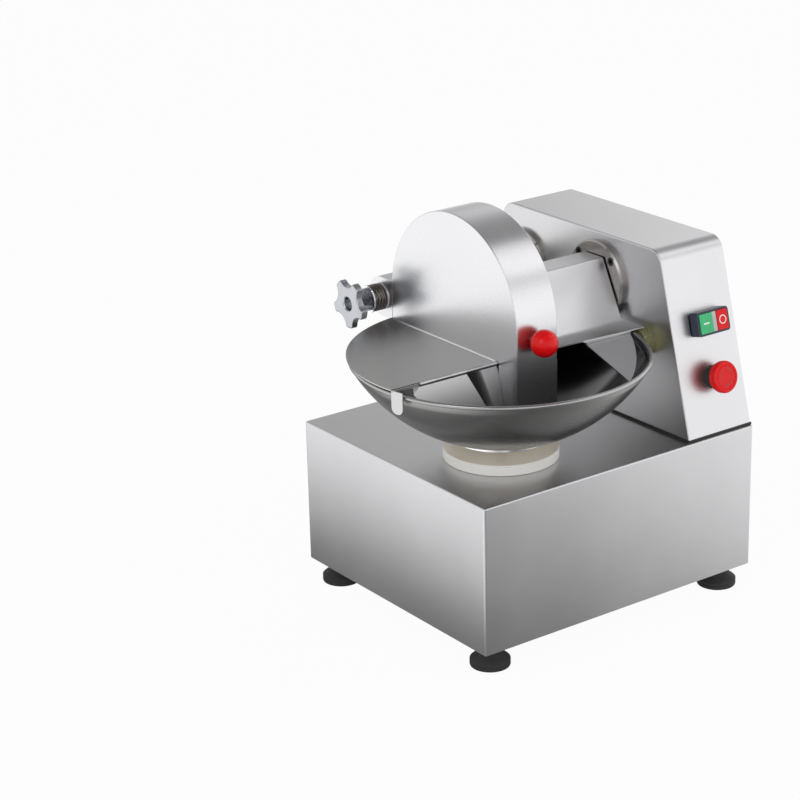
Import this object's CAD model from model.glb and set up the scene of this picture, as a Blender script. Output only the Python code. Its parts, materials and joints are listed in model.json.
"""Bench-top meat bowl cutter: studio, finishes and detailed pieces.

Every size is in metres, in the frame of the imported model.
"""

import json
from math import asin, cos, pi, radians, sin, sqrt

import bpy
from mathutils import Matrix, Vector

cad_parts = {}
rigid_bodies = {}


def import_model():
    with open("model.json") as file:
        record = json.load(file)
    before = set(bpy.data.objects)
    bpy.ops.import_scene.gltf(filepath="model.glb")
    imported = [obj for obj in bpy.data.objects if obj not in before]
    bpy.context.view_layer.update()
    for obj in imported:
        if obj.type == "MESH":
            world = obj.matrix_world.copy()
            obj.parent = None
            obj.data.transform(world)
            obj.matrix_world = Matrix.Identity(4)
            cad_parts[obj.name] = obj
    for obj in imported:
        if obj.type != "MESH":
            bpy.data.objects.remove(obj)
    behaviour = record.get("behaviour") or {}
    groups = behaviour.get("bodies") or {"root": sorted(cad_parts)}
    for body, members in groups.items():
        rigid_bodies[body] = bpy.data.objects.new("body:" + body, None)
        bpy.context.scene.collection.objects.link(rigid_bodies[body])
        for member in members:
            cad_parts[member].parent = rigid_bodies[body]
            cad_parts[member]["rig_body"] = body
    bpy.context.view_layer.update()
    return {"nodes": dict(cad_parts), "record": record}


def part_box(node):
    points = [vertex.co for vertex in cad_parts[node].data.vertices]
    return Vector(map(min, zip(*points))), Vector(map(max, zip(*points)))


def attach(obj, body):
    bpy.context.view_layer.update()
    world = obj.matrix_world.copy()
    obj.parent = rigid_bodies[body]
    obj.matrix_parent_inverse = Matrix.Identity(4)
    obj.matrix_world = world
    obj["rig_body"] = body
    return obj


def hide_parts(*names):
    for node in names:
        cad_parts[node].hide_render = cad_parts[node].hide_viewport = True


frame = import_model()

bl_info = {
    "name": "Bowl cutter",
    "version": (1, 0, 0),
    "blender": (4, 5, 0),
    "location": "3D View > Sidebar > Bowl cutter",
    "description": "Dresses the meat bowl cutter with its studio, finishes and detailed pieces",
    "category": "Object",
}

MM = 0.001
BOWL_LOW, BOWL_HIGH = (Vector(corner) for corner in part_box("bowl"))
BOWL_AXIS = (BOWL_LOW + BOWL_HIGH) / 2
RIM_RADIUS = (BOWL_HIGH.x - BOWL_LOW.x) / 2
DISH_RADIUS = 208.7 * MM
BASE_LOW, BASE_HIGH = (Vector(corner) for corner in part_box("base_cabinet"))
HOUSING_LOW, HOUSING_HIGH = (Vector(corner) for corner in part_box("motor_housing"))
PANEL_TILT = radians(14.85)
OUT = Vector((0, -cos(PANEL_TILT), sin(PANEL_TILT)))
UP_PANEL = Vector((0, sin(PANEL_TILT), cos(PANEL_TILT)))
PANEL_FOOT = Vector((HOUSING_LOW.x, BASE_LOW.y + 4.5 * MM, BASE_HIGH.z))
CONTROLS_ACROSS = (HOUSING_HIGH.x - HOUSING_LOW.x) / 2 + 3.0 * MM
SWITCH_UP = 140.0 * MM
STOP_UP = 71.2 * MM
FLAP_LEAN = radians(15)
WELD_REACH = 0.02 * MM

FINISH_OF_SLOT = {
    "brushed_steel": "brushed_stainless",
    "polished_steel": "polished_steel",
    "machined_steel": "machined_steel",
    "spring_steel": "oiled_spring_steel",
    "bronze": "bearing_bronze",
    "cast_case": "painted_casting",
    "motor_aluminium": "cast_aluminium",
    "motor_steel": "painted_bracket",
    "white_nylon": "white_nylon",
    "black_rubber": "black_rubber",
    "black_plastic": "black_plastic",
    "grey_plastic": "switch_body_plastic",
    "red_plastic": "red_gloss_plastic",
    "green_plastic": "green_gloss_plastic",
    "lens_plastic": "clear_lens",
    "amber_rubber": "amber_buffer_rubber",
}
OWN_FINISH = {
    "flap": "satin_flap",
    "dome_cover": "dome_sheet",
    "hinge_lug": "dome_sheet",
    "hinge_post": "flange_steel",
    "knife_bearing_housing": "flange_steel",
    "flange_screws": "blacked_steel",
    "star_knob": "knob_steel",
    "cover_plate": "cover_sheet",
    "knives": "blade_steel",
}


# ---------------------------------------------------------------- shader helpers
def socket_in(group, name, default, low=0.0, high=1000.0):
    """Adds a number input to a node group."""
    socket = group.interface.new_socket(name=name, in_out="INPUT", socket_type="NodeSocketFloat")
    socket.default_value = default
    socket.min_value = low
    socket.max_value = high


def maths(nodes, links, operation, first, second=None):
    """A maths node on one or two values or sockets; gives back its output."""
    node = nodes.new("ShaderNodeMath")
    node.operation = operation
    for place, value in enumerate((first, second)):
        if value is None:
            continue
        if isinstance(value, (int, float)):
            node.inputs[place].default_value = value
        else:
            links.new(value, node.inputs[place])
    return node.outputs[0]


def noise(nodes, links, vector, scale, detail=2.0, rough=0.5):
    """A noise texture on a vector; gives back its value."""
    node = nodes.new("ShaderNodeTexNoise")
    node.inputs["Scale"].default_value = scale
    node.inputs["Detail"].default_value = detail
    node.inputs["Roughness"].default_value = rough
    links.new(vector, node.inputs["Vector"])
    return node.outputs["Fac"]


def make_brushed_group():
    """Fine parallel scratches of rolled sheet, and the soft clouding under them."""
    group = bpy.data.node_groups.new("sheet_grain", "ShaderNodeTree")
    socket_in(group, "Fineness", 700.0, 10.0, 4000.0)
    socket_in(group, "Length", 9.0, 0.5, 200.0)
    for name in ("Scratches", "Clouds"):
        group.interface.new_socket(name=name, in_out="OUTPUT", socket_type="NodeSocketFloat")
    nodes, links = group.nodes, group.links
    start = nodes.new("NodeGroupInput")
    end = nodes.new("NodeGroupOutput")
    place = nodes.new("ShaderNodeTexCoord")
    split = nodes.new("ShaderNodeSeparateXYZ")
    links.new(place.outputs["Object"], split.inputs[0])
    face = nodes.new("ShaderNodeSeparateXYZ")
    links.new(place.outputs["Normal"], face.inputs[0])
    fine, slow = start.outputs["Fineness"], start.outputs["Length"]
    facing_up = maths(nodes, links, "ABSOLUTE", face.outputs[2])
    level = maths(nodes, links, "GREATER_THAN", facing_up, 0.75)
    upright = nodes.new("ShaderNodeCombineXYZ")
    flat = nodes.new("ShaderNodeCombineXYZ")
    for axis, speed_upright, speed_flat in ((0, slow, slow), (1, slow, fine), (2, fine, slow)):
        links.new(maths(nodes, links, "MULTIPLY", split.outputs[axis], speed_upright), upright.inputs[axis])
        links.new(maths(nodes, links, "MULTIPLY", split.outputs[axis], speed_flat), flat.inputs[axis])
    pick = nodes.new("ShaderNodeMix")
    pick.data_type = "VECTOR"
    links.new(level, pick.inputs["Factor"])
    for letter, scaled in (("A", upright), ("B", flat)):
        target = next(socket for socket in pick.inputs if socket.type == "VECTOR" and socket.name == letter)
        links.new(scaled.outputs[0], target)
    scaled_place = next(socket for socket in pick.outputs if socket.type == "VECTOR")
    links.new(noise(nodes, links, scaled_place, 1.0, 3.0, 0.6), end.inputs["Scratches"])
    links.new(noise(nodes, links, place.outputs["Object"], 6.0, 3.0, 0.55), end.inputs["Clouds"])
    return group


def make_turned_group():
    """Fine rings left by a lathe or a spinning mop, about an upright axis."""
    group = bpy.data.node_groups.new("turned_rings", "ShaderNodeTree")
    socket_in(group, "Axis X", 0.0, -10.0, 10.0)
    socket_in(group, "Axis Y", 0.0, -10.0, 10.0)
    socket_in(group, "Fineness", 900.0, 10.0, 4000.0)
    for name in ("Rings", "Clouds"):
        group.interface.new_socket(name=name, in_out="OUTPUT", socket_type="NodeSocketFloat")
    nodes, links = group.nodes, group.links
    start = nodes.new("NodeGroupInput")
    end = nodes.new("NodeGroupOutput")
    place = nodes.new("ShaderNodeTexCoord")
    split = nodes.new("ShaderNodeSeparateXYZ")
    links.new(place.outputs["Object"], split.inputs[0])
    east = maths(nodes, links, "SUBTRACT", split.outputs[0], start.outputs["Axis X"])
    north = maths(nodes, links, "SUBTRACT", split.outputs[1], start.outputs["Axis Y"])
    radius = maths(nodes, links, "SQRT", maths(
        nodes, links, "ADD", maths(nodes, links, "MULTIPLY", east, east),
        maths(nodes, links, "MULTIPLY", north, north)))
    along = maths(nodes, links, "ADD", radius, split.outputs[2])
    ringed = nodes.new("ShaderNodeCombineXYZ")
    links.new(maths(nodes, links, "MULTIPLY", along, start.outputs["Fineness"]), ringed.inputs[0])
    links.new(maths(nodes, links, "MULTIPLY", east, 9.0), ringed.inputs[1])
    links.new(maths(nodes, links, "MULTIPLY", north, 9.0), ringed.inputs[2])
    links.new(noise(nodes, links, ringed.outputs[0], 1.0, 3.0, 0.6), end.inputs["Rings"])
    links.new(noise(nodes, links, place.outputs["Object"], 9.0, 3.0, 0.55), end.inputs["Clouds"])
    return group


def make_speckle_group():
    """Even fine grain of moulded plastic, rubber or a casting."""
    group = bpy.data.node_groups.new("moulded_grain", "ShaderNodeTree")
    socket_in(group, "Fineness", 900.0, 10.0, 6000.0)
    for name in ("Grain", "Clouds"):
        group.interface.new_socket(name=name, in_out="OUTPUT", socket_type="NodeSocketFloat")
    nodes, links = group.nodes, group.links
    start = nodes.new("NodeGroupInput")
    end = nodes.new("NodeGroupOutput")
    place = nodes.new("ShaderNodeTexCoord")
    grain = nodes.new("ShaderNodeTexNoise")
    grain.inputs["Detail"].default_value = 3.0
    links.new(place.outputs["Object"], grain.inputs["Vector"])
    links.new(start.outputs["Fineness"], grain.inputs["Scale"])
    links.new(grain.outputs["Fac"], end.inputs["Grain"])
    links.new(noise(nodes, links, place.outputs["Object"], 25.0, 3.0, 0.5), end.inputs["Clouds"])
    return group


class Finish:
    """One procedural material under construction, with its shader to wire into."""

    def __init__(self, name, colour, metallic=0.0, roughness=0.4):
        self.material = bpy.data.materials.new(name)
        self.material.use_nodes = True
        self.nodes = self.material.node_tree.nodes
        self.links = self.material.node_tree.links
        self.shader = self.nodes["Principled BSDF"]
        self.shader.inputs["Metallic"].default_value = metallic
        self.shader.inputs["Roughness"].default_value = roughness
        self.shader.inputs["Base Color"].default_value = (*colour, 1.0)
        self.material.diffuse_color = (*colour, 1.0)

    def pattern(self, group_name, **values):
        """Places a shared pattern in this material with its own values."""
        node = self.nodes.new("ShaderNodeGroup")
        node.node_tree = bpy.data.node_groups[group_name]
        for name, value in values.items():
            node.inputs[name.replace("_", " ")].default_value = value
        return node

    def tone(self, fac, dark, light, low=0.3, high=0.7):
        """Colours the surface from dark to light as fac goes from low to high."""
        ramp = self.nodes.new("ShaderNodeValToRGB")
        ramp.color_ramp.elements[0].position = low
        ramp.color_ramp.elements[0].color = (*dark, 1.0)
        ramp.color_ramp.elements[1].position = high
        ramp.color_ramp.elements[1].color = (*light, 1.0)
        self.links.new(fac, ramp.inputs["Fac"])
        self.links.new(ramp.outputs["Color"], self.shader.inputs["Base Color"])
        return ramp

    def spread(self, fac, low, high, target="Roughness", fac_low=0.3, fac_high=0.7):
        """Drives one shader number from low to high by fac."""
        node = self.nodes.new("ShaderNodeMapRange")
        node.inputs["From Min"].default_value = fac_low
        node.inputs["From Max"].default_value = fac_high
        node.inputs["To Min"].default_value = low
        node.inputs["To Max"].default_value = high
        self.links.new(fac, node.inputs["Value"])
        self.links.new(node.outputs["Result"], self.shader.inputs[target])

    def relief(self, height, strength, distance):
        """Raises the surface by a height value."""
        bump = self.nodes.new("ShaderNodeBump")
        bump.inputs["Strength"].default_value = strength
        bump.inputs["Distance"].default_value = distance
        self.links.new(height, bump.inputs["Height"])
        self.links.new(bump.outputs["Normal"], self.shader.inputs["Normal"])

    def add(self, first, second, share):
        """first + share * second, as a number."""
        node = self.nodes.new("ShaderNodeMath")
        node.operation = "MULTIPLY_ADD"
        self.links.new(second, node.inputs[0])
        node.inputs[1].default_value = share
        self.links.new(first, node.inputs[2])
        return node.outputs[0]


def sheet_finish(name, dark, light, rough_low, rough_high, fineness=1500.0, length=12.0, depth=0.0000006):
    """Brushed stainless sheet."""
    made = Finish(name, light, 1.0, rough_low)
    grain = made.pattern("sheet_grain", Fineness=fineness, Length=length)
    mixed = made.add(grain.outputs["Clouds"], grain.outputs["Scratches"], 0.3)
    made.tone(mixed, dark, light, 0.55, 1.0)
    made.spread(mixed, rough_low, rough_high, fac_low=0.55, fac_high=1.0)
    made.relief(grain.outputs["Scratches"], 0.25, depth)
    return made.material


def turned_finish(name, dark, light, metallic, rough_low, rough_high, axis, fineness=900.0, depth=0.00002):
    """A surface turned or mopped round an upright axis."""
    made = Finish(name, light, metallic, rough_low)
    rings = made.pattern("turned_rings", Axis_X=axis[0], Axis_Y=axis[1], Fineness=fineness)
    mixed = made.add(rings.outputs["Clouds"], rings.outputs["Rings"], 0.55)
    made.tone(mixed, dark, light, 0.55, 1.0)
    made.spread(mixed, rough_low, rough_high, fac_low=0.55, fac_high=1.0)
    made.relief(rings.outputs["Rings"], 0.25, depth)
    return made.material


def moulded_finish(name, dark, light, metallic, rough_low, rough_high, fineness=900.0, depth=0.00003,
                   coat=0.0, specular=0.5):
    """Moulded plastic, rubber or a plain casting."""
    made = Finish(name, light, metallic, rough_low)
    grain = made.pattern("moulded_grain", Fineness=fineness)
    made.tone(grain.outputs["Clouds"], dark, light, 0.3, 0.7)
    made.spread(grain.outputs["Grain"], rough_low, rough_high)
    made.relief(grain.outputs["Grain"], 0.3, depth)
    made.shader.inputs["Coat Weight"].default_value = coat
    made.shader.inputs["Specular IOR Level"].default_value = specular
    return made.material


def make_finishes():
    """All the materials, by the record's slot."""
    make_brushed_group()
    make_turned_group()
    make_speckle_group()
    bowl_at = (BOWL_AXIS.x, BOWL_AXIS.y)
    amber = moulded_finish("amber_buffer_rubber", (0.78, 0.76, 0.30), (0.86, 0.84, 0.42), 0.0, 0.12, 0.18,
                           300.0, 0.000002)
    shader = amber.node_tree.nodes["Principled BSDF"]
    shader.inputs["Transmission Weight"].default_value = 0.8
    shader.inputs["IOR"].default_value = 1.45
    moulded_finish("printed_white", (0.84, 0.84, 0.83), (0.92, 0.92, 0.91), 0.0, 0.3, 0.4)
    moulded_finish("arrow_red", (0.50, 0.004, 0.006), (0.56, 0.008, 0.010), 0.0, 0.25, 0.35)
    turned_finish("satin_bowl", (0.30, 0.30, 0.295), (0.34, 0.34, 0.335), 1.0, 0.26, 0.30, bowl_at, 1500.0,
                  0.000004)
    turned_finish("bright_bowl", (0.09, 0.09, 0.093), (0.12, 0.12, 0.123), 1.0, 0.10, 0.14, bowl_at, 1500.0,
                  0.000003)
    turned_finish("bowl_lip", (0.36, 0.36, 0.36), (0.41, 0.41, 0.41), 1.0, 0.24, 0.30, bowl_at, 1500.0,
                  0.000003)
    sheet_finish("satin_flap", (0.52, 0.52, 0.525), (0.57, 0.57, 0.575), 0.32, 0.38)
    sheet_finish("dome_sheet", (0.65, 0.65, 0.665), (0.68, 0.68, 0.695), 0.27, 0.30, depth=0.00000005)
    moulded_finish("flange_steel", (0.30, 0.285, 0.275), (0.38, 0.365, 0.355), 1.0, 0.26, 0.36)
    moulded_finish("knob_steel", (0.40, 0.41, 0.435), (0.46, 0.47, 0.495), 1.0, 0.24, 0.30, 1500.0,
                   0.000001)
    moulded_finish("disc_land", (0.56, 0.50, 0.41), (0.64, 0.58, 0.49), 0.0, 0.35, 0.5)
    sheet_finish("cover_sheet", (0.44, 0.435, 0.43), (0.49, 0.485, 0.48), 0.30, 0.36)
    sheet_finish("weld_bead", (0.84, 0.84, 0.84), (0.90, 0.90, 0.90), 0.36, 0.42)
    moulded_finish("blade_steel", (0.34, 0.34, 0.35), (0.39, 0.39, 0.40), 1.0, 0.22, 0.28, 1500.0, 0.000001)
    moulded_finish("blacked_steel", (0.035, 0.035, 0.037), (0.07, 0.07, 0.072), 1.0, 0.3, 0.4)
    lens = moulded_finish("clear_lens", (0.45, 0.47, 0.46), (0.55, 0.57, 0.56), 0.0, 0.1, 0.2)
    return {
        "brushed_steel": sheet_finish("brushed_stainless", (0.62, 0.62, 0.63), (0.68, 0.68, 0.69),
                                      0.34, 0.40),
        "polished_steel": moulded_finish("polished_steel", (0.42, 0.43, 0.46), (0.50, 0.51, 0.54), 1.0,
                                         0.20, 0.28, 1500.0, 0.000003),
        "machined_steel": moulded_finish("machined_steel", (0.42, 0.42, 0.43), (0.55, 0.55, 0.56), 1.0,
                                         0.25, 0.4),
        "spring_steel": moulded_finish("oiled_spring_steel", (0.08, 0.07, 0.065), (0.15, 0.135, 0.125), 1.0,
                                       0.2, 0.35),
        "bronze": moulded_finish("bearing_bronze", (0.45, 0.28, 0.12), (0.62, 0.42, 0.20), 1.0, 0.25, 0.4),
        "cast_case": moulded_finish("painted_casting", (0.10, 0.11, 0.12), (0.16, 0.17, 0.19), 0.0,
                                    0.4, 0.6, 500.0, 0.0002),
        "motor_aluminium": moulded_finish("cast_aluminium", (0.40, 0.41, 0.42), (0.56, 0.57, 0.58), 1.0,
                                          0.35, 0.55, 600.0, 0.0001),
        "motor_steel": moulded_finish("painted_bracket", (0.05, 0.06, 0.08), (0.08, 0.09, 0.11), 0.0,
                                      0.35, 0.5),
        "white_nylon": turned_finish("white_nylon", (0.84, 0.81, 0.71), (0.92, 0.89, 0.81), 0.0, 0.35, 0.5,
                                     bowl_at, 1200.0, 0.00005),
        "black_rubber": moulded_finish("black_rubber", (0.012, 0.012, 0.013), (0.03, 0.03, 0.031), 0.0,
                                       0.45, 0.65),
        "black_plastic": moulded_finish("black_plastic", (0.012, 0.012, 0.014), (0.025, 0.025, 0.028), 0.0,
                                        0.3, 0.45),
        "grey_plastic": moulded_finish("switch_body_plastic", (0.010, 0.014, 0.035), (0.018, 0.024, 0.055),
                                       0.0, 0.25, 0.4),
        "red_plastic": moulded_finish("red_gloss_plastic", (0.78, 0.004, 0.006), (0.84, 0.008, 0.010), 0.0,
                                      0.16, 0.20, 400.0, 0.0000004, 0.0, 0.22),
        "green_plastic": moulded_finish("green_gloss_plastic", (0.01, 0.44, 0.14), (0.02, 0.52, 0.18), 0.0,
                                        0.2, 0.32, 400.0, 0.00001, 0.2),
        "lens_plastic": lens,
        "amber_rubber": amber,
    }


def dress_nodes():
    """Gives every carried-over node its slot's finish."""
    finishes = make_finishes()
    for entry in frame["record"]["subparts"]:
        node = frame["nodes"][entry["node"]]
        node.data.materials.clear()
        node.data.materials.append(finishes[entry["material_slot"]])


# ---------------------------------------------------------------- modelling helpers
def deselect():
    """Leaves nothing selected."""
    if bpy.context.object and bpy.context.object.mode != "OBJECT":
        bpy.ops.object.mode_set(mode="OBJECT")
    bpy.ops.object.select_all(action="DESELECT")


def take(piece):
    """Selects one piece alone."""
    deselect()
    piece.select_set(True)
    bpy.context.view_layer.objects.active = piece


def settle(piece):
    """Moves a piece's place, turn and scale into its mesh."""
    take(piece)
    bpy.ops.object.transform_apply(location=True, rotation=True, scale=True)


def copied(piece, step):
    """A copy of a piece with its own mesh, moved by a step."""
    take(piece)
    bpy.ops.object.duplicate(linked=False)
    copy = bpy.context.object
    bpy.ops.transform.translate(value=step)
    settle(copy)
    return copy


def apply_modifier(piece, kind, **values):
    """Adds a modifier with its values and applies it."""
    take(piece)
    bpy.ops.object.modifier_add(type=kind)
    modifier = piece.modifiers[-1]
    for name, value in values.items():
        setattr(modifier, name, value)
    bpy.ops.object.modifier_apply(modifier=modifier.name)


def dress(piece, body, slot, *nodes, bevel=0.0, angle=35.0):
    """Breaks a piece's sharp edges, smooths its curves, and gives it its body and finish."""
    if bevel:
        apply_modifier(piece, "BEVEL", width=bevel, segments=3, limit_method="ANGLE",
                       angle_limit=radians(angle), use_clamp_overlap=True)
    take(piece)
    bpy.ops.object.shade_smooth_by_angle(angle=radians(angle))
    apply_modifier(piece, "WEIGHTED_NORMAL", keep_sharp=True)
    piece.data.materials.clear()
    piece.data.materials.append(bpy.data.materials[FINISH_OF_SLOT[slot]])
    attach(piece, body)
    if nodes:
        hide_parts(*nodes)
    return piece


def facts(node):
    """Body and material slot of a carried-over node."""
    entry = next(e for e in frame["record"]["subparts"] if e["node"] == node)
    return frame["nodes"][node]["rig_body"], entry["material_slot"]


def draw_line(name, places):
    """A chain of edges through the places, left in edit mode with all of it selected."""
    deselect()
    bpy.ops.mesh.primitive_plane_add(size=0.002, location=places[0])
    piece = bpy.context.object
    piece.name = piece.data.name = name
    settle(piece)
    bpy.ops.object.mode_set(mode="EDIT")
    bpy.ops.mesh.select_all(action="SELECT")
    bpy.ops.mesh.merge(type="CENTER")
    for start, end in zip(places, places[1:]):
        bpy.ops.mesh.extrude_vertices_move(TRANSFORM_OT_translate={"value": end - start})
    bpy.ops.mesh.select_all(action="SELECT")
    return piece


def spun(name, profile, centre, axis, steps=96):
    """Spins a profile of (radius, distance along the axis) pairs round an axis."""
    axis = Vector(axis).normalized()
    across = axis.orthogonal().normalized()
    centre = Vector(centre)
    piece = draw_line(name, [centre + across * radius + axis * along for radius, along in profile])
    bpy.ops.mesh.spin(steps=steps, angle=2 * pi, center=centre, axis=axis)
    bpy.ops.mesh.select_all(action="SELECT")
    bpy.ops.mesh.remove_doubles(threshold=0.00001)
    bpy.ops.mesh.normals_make_consistent(inside=False)
    bpy.ops.object.mode_set(mode="OBJECT")
    return piece


def slab(name, outline, depth):
    """Fills a flat outline of places and pushes it out by a depth vector."""
    piece = draw_line(name, outline + outline[:1])
    bpy.ops.mesh.remove_doubles(threshold=0.000001)
    bpy.ops.mesh.select_all(action="SELECT")
    bpy.ops.mesh.edge_face_add()
    bpy.ops.mesh.extrude_region_move(TRANSFORM_OT_translate={"value": depth})
    bpy.ops.mesh.select_all(action="SELECT")
    bpy.ops.mesh.normals_make_consistent(inside=False)
    bpy.ops.object.mode_set(mode="OBJECT")
    return piece


def curve_points(middle_at, radius, first, last, count):
    """Points on an arc in a profile's own two directions, angles in degrees."""
    return [(middle_at[0] + radius * cos(radians(first + (last - first) * step / count)),
             middle_at[1] + radius * sin(radians(first + (last - first) * step / count)))
            for step in range(count + 1)]


def smoothed(node, angle=30.0):
    """A welded copy of a node with its curves shaded smooth, in the node's place."""
    source = frame["nodes"][node]
    piece = bpy.data.objects.new(node + "_skin", source.data.copy())
    bpy.context.scene.collection.objects.link(piece)
    take(piece)
    bpy.ops.object.mode_set(mode="EDIT")
    bpy.ops.mesh.select_all(action="SELECT")
    bpy.ops.mesh.remove_doubles(threshold=WELD_REACH)
    bpy.ops.mesh.dissolve_limited(angle_limit=radians(0.3))
    bpy.ops.object.mode_set(mode="OBJECT")
    body, slot = facts(node)
    dress(piece, body, slot, node, angle=angle)
    if node in OWN_FINISH:
        piece.data.materials[0] = bpy.data.materials[OWN_FINISH[node]]
    return piece


def on_panel(across, up, out=0.0):
    """A place on the sloping panel: right of its left edge, up from its foot, out of its face."""
    return PANEL_FOOT + Vector((across, 0, 0)) + UP_PANEL * up + OUT * out


# ---------------------------------------------------------------- pieces
def make_bowl(settings):
    """The spun bowl: one sheet from its floor to a rolled lip."""
    top = BOWL_HIGH.z
    floor = BOWL_LOW.z
    lip = settings.lip_radius
    wall = settings.bowl_wall
    centre_z = top - lip + sqrt(DISH_RADIUS ** 2 - RIM_RADIUS ** 2)
    inner = DISH_RADIUS - wall

    def side(radius, first, last, count):
        """Points of a spherical wall between two radii from the bowl's axis."""
        start, end = asin(first / radius), asin(last / radius)
        turns = [start + (end - start) * step / count for step in range(count + 1)]
        return [(radius * sin(turn), centre_z - radius * cos(turn)) for turn in turns]

    floor_edge = sqrt(DISH_RADIUS ** 2 - (centre_z - floor) ** 2)
    floor_inner = sqrt(inner ** 2 - (centre_z - floor - wall) ** 2)
    lip_middle = (RIM_RADIUS - lip, top - lip)
    outside = side(DISH_RADIUS, floor_edge, RIM_RADIUS - 2 * lip, 40)
    inside = side(inner, floor_inner, RIM_RADIUS - 2.2 * lip, 40)
    profile = ([(0.0, floor)] + outside + curve_points(lip_middle, lip, -100, 190, 20)
               + inside[::-1] + [(0.0, floor + wall)])
    piece = spun("bowl_skin", profile, (BOWL_AXIS.x, BOWL_AXIS.y, 0), (0, 0, 1), 160)
    dress(piece, "bowl_rotor", "brushed_steel", "bowl", angle=60.0)
    piece.data.materials[0] = bpy.data.materials["satin_bowl"]
    piece.data.materials.append(bpy.data.materials["bright_bowl"])
    piece.data.materials.append(bpy.data.materials["bowl_lip"])
    heart = Vector((BOWL_AXIS.x, BOWL_AXIS.y, centre_z))
    for face in piece.data.polygons:
        if face.center.z > top - 2.2 * lip:
            face.material_index = 2
        elif (face.center - heart).length < inner + 0.3 * wall:
            face.material_index = 1


def make_bowl_seat():
    """The white turntable disc under the bowl and the steel ring that sits on it."""
    low, high = (Vector(corner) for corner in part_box("nylon_disc"))
    centre = (BOWL_AXIS.x, BOWL_AXIS.y, low.z)
    edge = (high.x - low.x) / 2
    land = high.z - low.z
    step = 14.5 * MM
    groove = 10.5 * MM
    nip = 1.0 * MM
    bore, seat = 24 * MM, 60 * MM
    profile = [(bore, 0), (edge - nip, 0), (edge, nip), (edge, groove), (edge - 0.8 * MM, groove + nip / 2),
               (edge, groove + nip), (edge, step - nip), (edge - nip, step), (seat, land - nip),
               (seat - nip, land), (bore, land), (bore, 0)]
    disc = spun("nylon_disc_skin", profile, centre, (0, 0, 1), 128)
    dress(disc, "chassis", "white_nylon", "nylon_disc", bevel=0.5 * MM, angle=25.0)
    disc.data.materials.append(bpy.data.materials["disc_land"])
    for face in disc.data.polygons:
        if face.center.z > low.z + step - 0.4 * MM:
            face.material_index = 1
    smoothed("bowl_hub")


def make_feet():
    """Four round rubber feet with flared skirts and a moulded ring."""
    low, high = (Vector(corner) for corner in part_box("rubber_feet"))
    radius, neck, rim, tall = 24.6 * MM, 11.8 * MM, 9.0 * MM, high.z - low.z
    skirt = [(radius, rim), (22.6 * MM, 10.9 * MM), (19.6 * MM, 13.0 * MM), (16.4 * MM, 16.0 * MM),
             (14.0 * MM, 19.6 * MM), (12.5 * MM, 24.0 * MM), (neck, tall)]
    recess, recess_radius = 2.5 * MM, 9 * MM
    profile = ([(0, recess), (recess_radius, recess), (recess_radius, 0), (radius - 2 * MM, 0),
                (radius - 0.5 * MM, 0.8 * MM), (radius, 2 * MM), (radius, 5 * MM),
                (radius - 0.6 * MM, 5.6 * MM), (radius, 6.2 * MM)]
               + skirt + [(0, tall)])
    feet = [spun("foot", profile, (low.x + radius, low.y + radius, low.z), (0, 0, 1), 48)]
    span_x, span_y = high.x - low.x - 2 * radius, high.y - low.y - 2 * radius
    for step in ((0, span_y, 0), (span_x, 0, 0), (span_x, span_y, 0)):
        feet.append(copied(feet[0], step))
    deselect()
    for foot in feet:
        foot.select_set(True)
    bpy.context.view_layer.objects.active = feet[0]
    bpy.ops.object.join()
    feet[0].name = feet[0].data.name = "feet_skin"
    dress(feet[0], "chassis", "black_rubber", "rubber_feet", angle=32.0)


def make_ball_knob():
    """The red ball on the front of the dome and the ferrule behind it."""
    low, high = (Vector(corner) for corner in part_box("ball_knob"))
    radius = (high.x - low.x) / 2
    centre = ((low.x + high.x) / 2, low.y + radius, (low.z + high.z) / 2)
    flat = high.y - centre[1]
    mouth = sqrt(radius ** 2 - flat ** 2)
    turn = asin(mouth / radius) * 180 / pi
    profile = curve_points((0, 0), radius, -90, 90 - turn, 48)
    profile[0] = (0.0, -radius)
    profile += [(mouth - 0.6 * MM, flat), (4.2 * MM, flat), (4.2 * MM, flat - 1 * MM), (0, flat - 1 * MM)]
    dress(spun("ball_knob_skin", profile, centre, (0, 1, 0), 72), "cover", "red_plastic", "ball_knob",
          angle=40.0)
    smoothed("knob_ferrule")


def hang_flap(piece, reach=1.7 * MM):
    """Leans the drop flap's plate forward from its fold and brings its inner edge up to the dome's wall."""
    low, high = (Vector(corner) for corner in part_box("piano_hinge_pin"))
    fold = (low + high) / 2 - Vector((0, 0, 2.4 * MM))
    left = low.x - 33.0 * MM
    edge = max(vertex.co.x for vertex in piece.data.vertices)

    def pick(wanted):
        """Selects the vertices that a test holds for, in edit mode."""
        take(piece)
        bpy.ops.object.mode_set(mode="EDIT")
        bpy.ops.mesh.select_mode(type="VERT")
        bpy.ops.mesh.select_all(action="DESELECT")
        bpy.ops.object.mode_set(mode="OBJECT")
        for vertex in piece.data.vertices:
            vertex.select = wanted(vertex.co)
        bpy.ops.object.mode_set(mode="EDIT")

    pick(lambda place: True)
    bpy.ops.mesh.bisect(plane_co=fold, plane_no=(0, 0, 1))
    pick(lambda place: place.z < fold.z + 0.02 * MM and place.x > left)
    bpy.ops.transform.rotate(value=FLAP_LEAN, orient_axis="X", orient_type="GLOBAL", center_override=fold)
    pick(lambda place: place.x > edge - 0.4 * MM)
    bpy.ops.transform.translate(value=(reach, 0, 0))
    bpy.ops.object.mode_set(mode="OBJECT")


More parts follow.
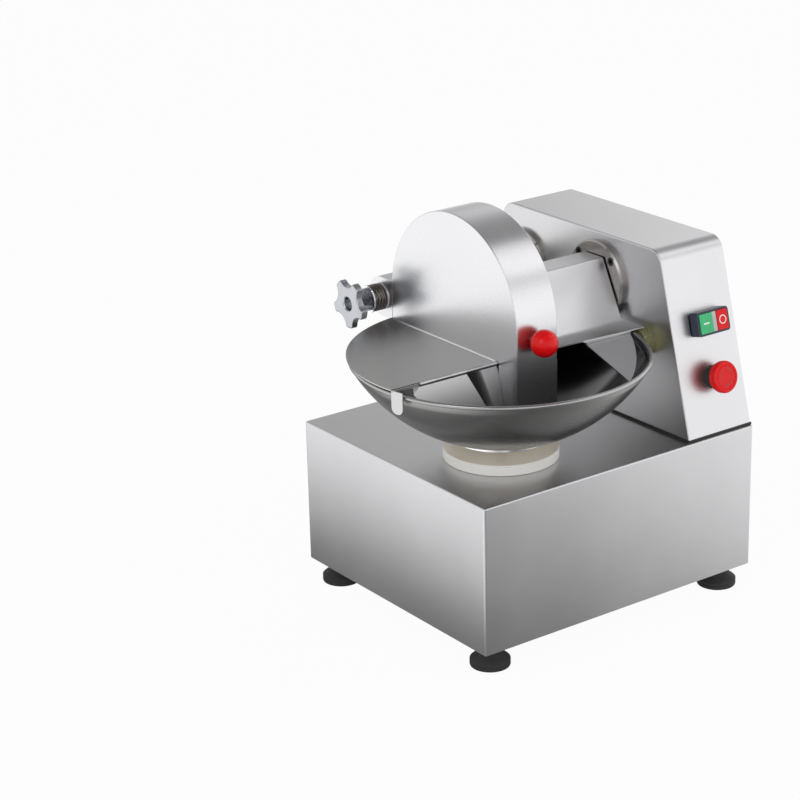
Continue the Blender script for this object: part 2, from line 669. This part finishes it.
def make_cover_weld():
    """The ground weld bead where the half cover meets the dome's side wall."""
    plate_low, plate_high = (Vector(corner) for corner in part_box("cover_plate"))
    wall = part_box("dome_cover")[0][0]
    start = plate_low.y + 0.5 * MM
    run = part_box("dome_cover")[1][1] - start - 0.5 * MM
    foot, sink = 1.3 * MM, 0.1 * MM
    places = [Vector((wall + sink, start, plate_high.z - sink)),
              Vector((wall - foot, start, plate_high.z - sink)),
              Vector((wall - foot, start, plate_high.z)),
              Vector((wall - 0.45 * foot, start, plate_high.z + 0.45 * foot)),
              Vector((wall, start, plate_high.z + foot)),
              Vector((wall + sink, start, plate_high.z + foot))]
    bead = slab("cover_weld", places, Vector((0, run, 0)))
    dress(bead, "cover", "brushed_steel", angle=50.0)
    bead.data.materials[0] = bpy.data.materials["weld_bead"]


def make_sheet_metal():
    """Casings and covers folded from stainless sheet."""
    for node in ("base_cabinet", "motor_housing", "housing_gasket", "dome_cover", "hinge_lug",
                 "cover_plate", "shaft_shroud", "deflector", "flap", "piano_hinge_leaf",
                 "piano_hinge_pin"):
        piece = smoothed(node)
        if node == "flap":
            hang_flap(piece)
    make_cover_weld()


def make_hinge_hardware():
    """The side hinge: its post, shaft, bush, clamp washer and star knob."""
    for node in ("hinge_post", "hinge_shaft", "hinge_bush", "pressure_washer", "star_knob"):
        smoothed(node, 50.0)


def make_knife_end():
    """The knife shaft's bearing flange with its screws, and the blades on the shaft."""
    for node in ("knife_bearing_housing", "flange_screws", "knives", "knife_spacers", "knife_nut",
                 "knife_shaft"):
        smoothed(node)


def make_bumper():
    """The clear amber buffer that the cover's ledge comes down on."""
    smoothed("bumper")


def rounded_outline(across, up, wide, tall, corner, out):
    """Places round a rectangle with rounded corners on the panel."""
    places = []
    for turn, x, y in ((0, 1, 1), (90, -1, 1), (180, -1, -1), (270, 1, -1)):
        middle_at = (across + x * (wide / 2 - corner), up + y * (tall / 2 - corner))
        places += [on_panel(u, v, out) for u, v in curve_points(middle_at, corner, turn, turn + 90, 5)]
    return places


def make_switch():
    """The start and stop switch: a rounded body, two rockers with their marks, and a window."""
    wide, tall, deep = 51.5 * MM, 30.0 * MM, 14.0 * MM
    middle_x = CONTROLS_ACROSS + 1.8 * MM
    tall_key, play, well = 24.6 * MM, 0.25 * MM, 10.0 * MM
    left = middle_x - wide / 2
    keys = (("start_rocker", 3.2, 20.4, 1.4, "start_key", "green_plastic", "start_button"),
            ("switch_window", 24.1, 6.4, 0.7, "chassis", "lens_plastic", "indicator_lens"),
            ("stop_rocker", 31.0, 17.3, 1.6, "stop_key", "red_plastic", "stop_button"))
    body = slab("switch_skin", rounded_outline(middle_x, SWITCH_UP, wide, tall, 4.0 * MM, 0.0), OUT * deep)
    for name, start, width, proud, rides, slot, node in keys:
        outline = rounded_outline(left + (start + width / 2) * MM, SWITCH_UP, width * MM + 2 * play,
                                  tall_key + 2 * play, 1.2 * MM, deep - well)
        hole = slab("well", outline, OUT * 2 * well)
        apply_modifier(body, "BOOLEAN", operation="DIFFERENCE", solver="EXACT", object=hole)
        take(hole)
        bpy.ops.object.delete()
    dress(body, "chassis", "grey_plastic", "switch_bezel", bevel=0.3 * MM)
    for name, start, width, proud, rides, slot, node in keys:
        across = left + (start + width / 2) * MM
        outline = rounded_outline(across, SWITCH_UP, width * MM, tall_key, 1.0 * MM, deep - 6 * MM)
        key = slab(name, outline, OUT * (6 + proud) * MM)
        dress(key, rides, slot, node, bevel=0.5 * MM)
        face = deep + proud * MM
        if name == "start_rocker":
            outline = rounded_outline(across, SWITCH_UP, 9.0 * MM, 1.9 * MM, 0.3 * MM, face - 0.2 * MM)
            mark = slab("start_mark", outline, OUT * 0.3 * MM)
        elif name == "stop_rocker":
            inner, outer, sink, rise = 4.3 * MM, 5.6 * MM, -0.2 * MM, 0.1 * MM
            ring = [(inner, sink), (outer, sink), (outer, rise), (inner, rise), (inner, sink)]
            mark = spun("stop_mark", ring, on_panel(across, SWITCH_UP, face), OUT, 48)
        else:
            continue
        dress(mark, rides, slot)
        mark.data.materials[0] = bpy.data.materials["printed_white"]


def make_stop_button():
    """The mushroom stop button with its ribbed rim and turning arrows, on a black collar."""
    smoothed("stop_collar")
    smoothed("stop_stem")
    centre = on_panel(CONTROLS_ACROSS, STOP_UP)
    face, thick, radius = 23.5 * MM, 12.0 * MM, 20.0 * MM
    base = face - thick
    profile = [(6.2 * MM, base), (radius - 3 * MM, base), (radius - 1.5 * MM, base + 1.2 * MM),
               (radius - 1.5 * MM, base + 4 * MM), (radius - 0.3 * MM, base + 4.4 * MM),
               (radius, base + 5 * MM)]
    profile += curve_points((radius - 3 * MM, face - 3 * MM), 3 * MM, 0, 90, 8)
    profile += [(15.6 * MM, face), (15.2 * MM, face - 0.7 * MM), (14.2 * MM, face - 0.7 * MM),
                (13.8 * MM, face), (8.0 * MM, face - 0.1 * MM), (0, face - 0.15 * MM)]
    head = spun("stop_head_skin", profile, centre, OUT, 120)
    dress(head, "stop_mushroom", "red_plastic", "stop_head", angle=40.0)
    arrows = []
    for start in (0, 120, 240):
        sweep = [radians(start + 8 * step) for step in range(9)]
        tip = radians(start + 84)
        inner, outer, mid = 9.4 * MM, 11.2 * MM, 10.3 * MM

        def at(radius, turn):
            """A place on the head's face."""
            return on_panel(CONTROLS_ACROSS + radius * cos(turn), STOP_UP + radius * sin(turn),
                            face - 0.15 * MM)

        outline = [at(outer, turn) for turn in sweep] + [at(outer + 1.3 * MM, sweep[-1]), at(mid, tip),
                                                         at(inner - 1.3 * MM, sweep[-1])]
        outline += [at(inner, turn) for turn in sweep[::-1]]
        arrows.append(slab("arrow", outline, OUT * 0.3 * MM))
    deselect()
    for arrow in arrows:
        arrow.select_set(True)
    bpy.context.view_layer.objects.active = arrows[0]
    bpy.ops.object.join()
    arrows[0].name = arrows[0].data.name = "stop_arrows"
    dress(arrows[0], "stop_mushroom", "red_plastic")
    arrows[0].data.materials[0] = bpy.data.materials["arrow_red"]


# ---------------------------------------------------------------- studio
# Grey levels of the room by height, from straight down (0) through the horizon (0.5) to straight up (1).
ROOM_FRONT = ((0.0, 0.55), (0.5, 1.0), (0.66, 0.97), (0.75, 0.62), (0.84, 0.26), (1.0, 0.16))
ROOM_BACK = ((0.0, 0.5), (0.5, 0.5), (0.57, 0.38), (0.70, 0.38), (0.84, 0.24), (1.0, 0.16))
ROOM_LEFT = ((0.0, 0.5), (0.5, 0.55), (0.60, 0.72), (0.72, 0.72), (0.84, 0.30), (1.0, 0.16))
ROOM_STRENGTH = 1.4
# Grey levels of the floor that the metal mirrors, from 1 m left of the machine (0) to 1 m right of it (1).
FLOOR_SWEEP = ((0.18, 1.0), (0.27, 0.92), (0.31, 0.52), (0.345, 0.27), (0.375, 0.13), (0.43, 0.11),
               (0.5, 0.18), (0.58, 0.32), (0.67, 0.52), (0.755, 0.75), (0.95, 0.9))
FLOOR_STRENGTH = 1.5
FRONT_BEARING = (0.766, -0.643)
LAMP_TARGET = (0, 0, 0.3)


def aim(lamp, target):
    """Turns a lamp or camera at a place to face a target."""
    lamp.rotation_euler = (Vector(target) - lamp.location).to_track_quat("-Z", "Y").to_euler()


def add_softbox(name, place, target, size, power):
    """A square soft light."""
    bpy.ops.object.light_add(type="AREA", location=place)
    lamp = bpy.context.object
    lamp.name = name
    lamp.data.shape = "SQUARE"
    lamp.data.size = size
    lamp.data.energy = power
    aim(lamp, target)
    return lamp


def graded(nodes, links, fac, stops):
    """A grey level that changes over fac, given as (position, level) pairs."""
    ramp = nodes.new("ShaderNodeValToRGB")
    links.new(fac, ramp.inputs["Fac"])
    ramp.color_ramp.elements[0].position, ramp.color_ramp.elements[1].position = stops[0][0], stops[-1][0]
    for position, level in stops[1:-1]:
        ramp.color_ramp.elements.new(position)
    for element, (position, level) in zip(ramp.color_ramp.elements, stops):
        element.position = position
        element.color = (level, level, level, 1.0)
    return ramp.outputs["Color"]


def eased(nodes, links, value, first, last, to_first=0.0, to_last=1.0):
    """A level that eases from to_first to to_last as a value goes from first to last."""
    node = nodes.new("ShaderNodeMapRange")
    node.interpolation_type = "SMOOTHSTEP"
    node.inputs["From Min"].default_value = first
    node.inputs["From Max"].default_value = last
    node.inputs["To Min"].default_value = to_first
    node.inputs["To Max"].default_value = to_last
    links.new(value, node.inputs["Value"])
    return node.outputs["Result"]


def mixed_colour(nodes, links, fac, first, second):
    """A colour between two, by fac."""
    node = nodes.new("ShaderNodeMixRGB")
    for value, socket in zip((fac, first, second), node.inputs):
        links.new(value, socket)
    return node.outputs["Color"]


def make_world():
    """White to the camera; for everything else a room that is pale in front, grey behind and dark above."""
    world = bpy.data.worlds.new("studio")
    bpy.context.scene.world = world
    world.use_nodes = True
    nodes, links = world.node_tree.nodes, world.node_tree.links
    nodes.clear()
    out = nodes.new("ShaderNodeOutputWorld")
    place = nodes.new("ShaderNodeTexCoord")
    split = nodes.new("ShaderNodeSeparateXYZ")
    links.new(place.outputs["Generated"], split.inputs[0])
    east, north, up = split.outputs[0], split.outputs[1], split.outputs[2]
    height = maths(nodes, links, "ADD", maths(nodes, links, "MULTIPLY", up, 0.5), 0.5)
    front = graded(nodes, links, height, ROOM_FRONT)
    back = graded(nodes, links, height, ROOM_BACK)
    side = graded(nodes, links, height, ROOM_LEFT)
    turn = maths(nodes, links, "ADD", maths(nodes, links, "MULTIPLY", east, FRONT_BEARING[0]),
                 maths(nodes, links, "MULTIPLY", north, FRONT_BEARING[1]))
    front_or_back = mixed_colour(nodes, links, eased(nodes, links, turn, -0.10, 0.10), back, front)
    room_tone = mixed_colour(nodes, links, eased(nodes, links, turn, -0.25, -0.50), front_or_back, side)
    room = nodes.new("ShaderNodeBackground")
    links.new(room_tone, room.inputs["Color"])
    room.inputs["Strength"].default_value = ROOM_STRENGTH
    white = nodes.new("ShaderNodeBackground")
    white.inputs["Color"].default_value = (1.0, 1.0, 1.0, 1.0)
    path = nodes.new("ShaderNodeLightPath")
    mix = nodes.new("ShaderNodeMixShader")
    links.new(path.outputs["Is Camera Ray"], mix.inputs["Fac"])
    links.new(room.outputs[0], mix.inputs[1])
    links.new(white.outputs[0], mix.inputs[2])
    links.new(mix.outputs[0], out.inputs["Surface"])


def make_floor():
    """A wide pale floor, white to the camera except for a faint shadow."""
    bpy.ops.object.select_all(action="DESELECT")
    bpy.ops.mesh.primitive_plane_add(size=14.0, location=(0, 0, -0.0003))
    floor = bpy.context.object
    floor.name = "studio_floor"
    bpy.ops.object.transform_apply(location=True, rotation=True, scale=True)
    material = bpy.data.materials.new("studio_paper")
    material.use_nodes = True
    nodes, links = material.node_tree.nodes, material.node_tree.links
    shader = nodes["Principled BSDF"]
    shader.inputs["Base Color"].default_value = (0.85, 0.85, 0.85, 1.0)
    shader.inputs["Roughness"].default_value = 0.9
    glow = nodes.new("ShaderNodeEmission")
    glow.inputs["Color"].default_value = (1.0, 1.0, 1.0, 1.0)
    path = nodes.new("ShaderNodeLightPath")
    place = nodes.new("ShaderNodeTexCoord")
    split = nodes.new("ShaderNodeSeparateXYZ")
    links.new(place.outputs["Object"], split.inputs[0])
    across = maths(nodes, links, "ADD", maths(nodes, links, "MULTIPLY", split.outputs[0], 0.5), 0.5)
    sweep = graded(nodes, links, across, FLOOR_SWEEP)
    nearest = maths(nodes, links, "MAXIMUM", split.outputs[0], split.outputs[1])
    corner = eased(nodes, links, nearest, -0.15, -0.65, 1.0, 0.5)
    sweep = maths(nodes, links, "MULTIPLY", sweep, corner)
    mirrored = path.outputs["Is Glossy Ray"]
    mirrored_level = maths(nodes, links, "MULTIPLY",
                           maths(nodes, links, "MULTIPLY", sweep, FLOOR_STRENGTH), mirrored)
    level = maths(nodes, links, "ADD", maths(nodes, links, "SUBTRACT", 1.0, mirrored), mirrored_level)
    links.new(level, glow.inputs["Strength"])
    seen = maths(nodes, links, "MULTIPLY", path.outputs["Is Camera Ray"], 0.96)
    through = maths(nodes, links, "ADD", mirrored, path.outputs["Is Transmission Ray"])
    share = maths(nodes, links, "ADD", seen, maths(nodes, links, "MULTIPLY", through, 0.9))
    mix = nodes.new("ShaderNodeMixShader")
    links.new(share, mix.inputs["Fac"])
    links.new(shader.outputs[0], mix.inputs[1])
    links.new(glow.outputs[0], mix.inputs[2])
    links.new(mix.outputs[0], nodes["Material Output"].inputs["Surface"])
    floor.data.materials.append(material)


def make_camera():
    """The camera stands front left of the machine, a little above it."""
    bpy.ops.object.camera_add(location=(-1.717844, -2.142953, 1.288222),
                              rotation=(1.213869, 0.022118, -0.630621))
    camera = bpy.context.object
    camera.name = "view_camera"
    camera.data.lens = 107.130
    camera.data.sensor_width = 36.0
    camera.data.clip_end = 100.0
    bpy.context.scene.camera = camera


class CutterSettings(bpy.types.PropertyGroup):
    """Sizes and levels a user may change."""

    bowl_wall: bpy.props.FloatProperty(
        name="Bowl wall", description="Thickness of the bowl's sheet", default=0.0022, min=0.0005,
        unit="LENGTH")
    lip_radius: bpy.props.FloatProperty(
        name="Lip radius", description="Radius of the bowl's rolled lip", default=0.0026, min=0.001,
        unit="LENGTH")
    key_power: bpy.props.FloatProperty(
        name="Key light", description="Power of the large light high at the front right", default=5.0,
        min=0.0, unit="POWER")
    fill_power: bpy.props.FloatProperty(
        name="Fill light", description="Power of the softer light at the left", default=14.0,
        min=0.0, unit="POWER")


class CUTTER_OT_studio(bpy.types.Operator):
    """Adds the camera, the lights, the world and the floor"""

    bl_idname = "cutter.studio"
    bl_label = "Studio"

    def execute(self, context):
        settings = context.scene.cutter_settings
        context.scene.view_settings.view_transform = "Standard"
        make_camera()
        make_world()
        make_floor()
        add_softbox("key_light", (1.45, -0.95, 2.25), LAMP_TARGET, 1.2, settings.key_power)
        add_softbox("side_light", (-2.3, -1.0, 1.9), LAMP_TARGET, 1.6, settings.fill_power)
        return {"FINISHED"}


class CUTTER_OT_finishes(bpy.types.Operator):
    """Gives every part of the machine its finish"""

    bl_idname = "cutter.finishes"
    bl_label = "Finishes"

    def execute(self, context):
        dress_nodes()
        return {"FINISHED"}


class CUTTER_OT_bowl(bpy.types.Operator):
    """Makes the spun bowl"""

    bl_idname = "cutter.bowl"
    bl_label = "Bowl"

    def execute(self, context):
        make_bowl(context.scene.cutter_settings)
        return {"FINISHED"}


class CUTTER_OT_bowl_seat(bpy.types.Operator):
    """Makes the turntable disc and the ring under the bowl"""

    bl_idname = "cutter.bowl_seat"
    bl_label = "Bowl seat"

    def execute(self, context):
        make_bowl_seat()
        return {"FINISHED"}


class CUTTER_OT_feet(bpy.types.Operator):
    """Makes the four rubber feet"""

    bl_idname = "cutter.feet"
    bl_label = "Feet"

    def execute(self, context):
        make_feet()
        return {"FINISHED"}


class CUTTER_OT_sheet_metal(bpy.types.Operator):
    """Makes the folded casings and covers"""

    bl_idname = "cutter.sheet_metal"
    bl_label = "Sheet metal"

    def execute(self, context):
        make_sheet_metal()
        return {"FINISHED"}


class CUTTER_OT_hinge(bpy.types.Operator):
    """Makes the side hinge's hardware and star knob"""

    bl_idname = "cutter.hinge"
    bl_label = "Side hinge"

    def execute(self, context):
        make_hinge_hardware()
        return {"FINISHED"}


class CUTTER_OT_knife_end(bpy.types.Operator):
    """Makes the bearing flange, its screws and the blades"""

    bl_idname = "cutter.knife_end"
    bl_label = "Knife end"

    def execute(self, context):
        make_knife_end()
        return {"FINISHED"}


class CUTTER_OT_ball_knob(bpy.types.Operator):
    """Makes the red ball knob and its ferrule"""

    bl_idname = "cutter.ball_knob"
    bl_label = "Ball knob"

    def execute(self, context):
        make_ball_knob()
        return {"FINISHED"}


class CUTTER_OT_bumper(bpy.types.Operator):
    """Makes the clear amber buffer"""

    bl_idname = "cutter.bumper"
    bl_label = "Buffer"

    def execute(self, context):
        make_bumper()
        return {"FINISHED"}


class CUTTER_OT_switch(bpy.types.Operator):
    """Makes the start and stop switch with its marks"""

    bl_idname = "cutter.switch"
    bl_label = "Switch"

    def execute(self, context):
        make_switch()
        return {"FINISHED"}


class CUTTER_OT_stop_button(bpy.types.Operator):
    """Makes the mushroom stop button"""

    bl_idname = "cutter.stop_button"
    bl_label = "Stop button"

    def execute(self, context):
        make_stop_button()
        return {"FINISHED"}


class CUTTER_PT_panel(bpy.types.Panel):
    """Lists the steps that dress the machine"""

    bl_idname = "CUTTER_PT_panel"
    bl_label = "Bowl cutter"
    bl_space_type = "VIEW_3D"
    bl_region_type = "UI"
    bl_category = "Bowl cutter"

    def draw(self, context):
        settings = context.scene.cutter_settings
        self.layout.prop(settings, "bowl_wall")
        self.layout.prop(settings, "lip_radius")
        self.layout.prop(settings, "key_power")
        self.layout.prop(settings, "fill_power")
        for step in STEPS:
            self.layout.operator(step.bl_idname)


STEPS = (CUTTER_OT_finishes, CUTTER_OT_bowl, CUTTER_OT_bowl_seat, CUTTER_OT_feet, CUTTER_OT_sheet_metal,
         CUTTER_OT_hinge, CUTTER_OT_knife_end, CUTTER_OT_ball_knob, CUTTER_OT_bumper,
         CUTTER_OT_switch, CUTTER_OT_stop_button, CUTTER_OT_studio)
CLASSES = (CutterSettings, *STEPS, CUTTER_PT_panel)


def register():
    for item in CLASSES:
        bpy.utils.register_class(item)
    bpy.types.Scene.cutter_settings = bpy.props.PointerProperty(type=CutterSettings)


def unregister():
    del bpy.types.Scene.cutter_settings
    for item in reversed(CLASSES):
        bpy.utils.unregister_class(item)


def main():
    register()
    for step in STEPS:
        group, name = step.bl_idname.split(".")
        getattr(getattr(bpy.ops, group), name)()


if __name__ == "__main__":
    main()
